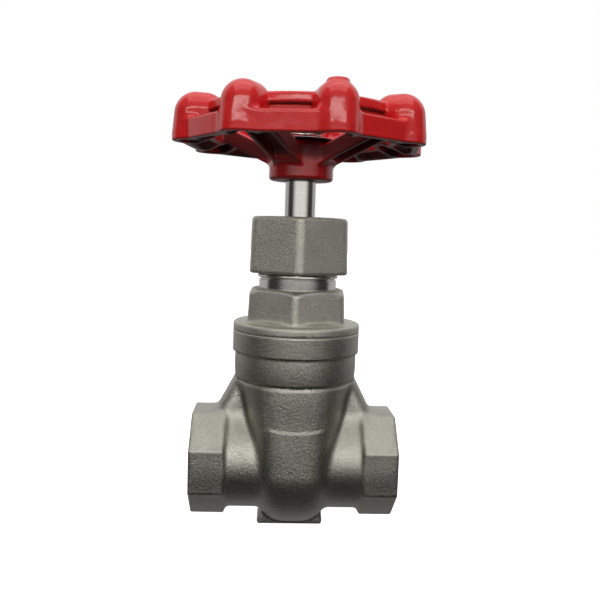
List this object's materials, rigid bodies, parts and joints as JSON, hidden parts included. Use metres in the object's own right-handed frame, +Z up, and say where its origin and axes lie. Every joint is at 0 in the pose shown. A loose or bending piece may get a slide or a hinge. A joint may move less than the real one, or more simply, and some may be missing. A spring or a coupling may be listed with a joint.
{
  "type": "gate valve",
  "caption": "Small screwed-bonnet gate valve with octagonal threaded ends, a hexagonal gland nut, a non-rising stem and a red lobed handwheel that lifts a wedge.",
  "frame": {"origin": "middle of the flat foot under the body, where the valve stands", "axes": "+Z up along the stem, +X along the pipe axis, +Y across the pipe"},
  "size_m": [0.0668, 0.0668, 0.1148],
  "materials": {
    "cast_steel": "bead-blasted stainless casting, matt grey, slightly warm",
    "turned_steel": "turned stainless steel with fine tool lines",
    "polished_steel": "bright polished stainless steel",
    "red_paint": "glossy red paint on a die casting",
    "seal_plastic": "white slippery sealing plastic",
    "plate_aluminium": "thin satin aluminium, left blank"
  },
  "bodies": {
    "housing": {"valve_body": "cast_steel", "bonnet": "cast_steel", "bonnet_gasket": "seal_plastic", "stem_retaining_ring": "turned_steel", "lower_thrust_washer": "seal_plastic", "upper_thrust_washer": "seal_plastic", "packing_base_washer": "turned_steel", "packing_ring_1": "seal_plastic", "packing_ring_2": "seal_plastic", "packing_ring_3": "seal_plastic", "packing_ring_4": "seal_plastic"},
    "spindle": {"stem": "polished_steel", "handwheel": "red_paint", "wheel_plate": "plate_aluminium", "spring_washer": "polished_steel", "wheel_nut": "polished_steel"},
    "wedge": {"wedge_disc": "cast_steel"},
    "gland": {"gland_follower": "turned_steel"},
    "nut": {"gland_nut": "cast_steel"}
  },
  "joints": [
    {"name": "wheel_turn", "type": "hinge", "parent": "housing", "child": "spindle", "pos_m": [0, 0, 0.07], "axis": [0, 0, 1], "range_deg": [0, 2520]},
    {"name": "wedge_lift", "type": "slide", "parent": "housing", "child": "wedge", "axis": [0, 0, 1], "range_m": [0, 0.0175]},
    {"name": "gland_travel", "type": "slide", "parent": "housing", "child": "gland", "axis": [0, 0, 1], "range_m": [-0.001, 0], "deforming": ["packing_ring_1", "packing_ring_2", "packing_ring_3", "packing_ring_4"]},
    {"name": "gland_nut_turn", "type": "hinge", "parent": "gland", "child": "nut", "pos_m": [0, 0, 0.07], "axis": [0, 0, 1], "range_deg": [-240, 0]}
  ],
  "couplings": [
    {"joint": "wedge_lift", "follows": "wheel_turn", "m_per_rad": 0.00039789},
    {"joint": "gland_travel", "follows": "gland_nut_turn", "m_per_rad": 0.00023873}
  ]
}
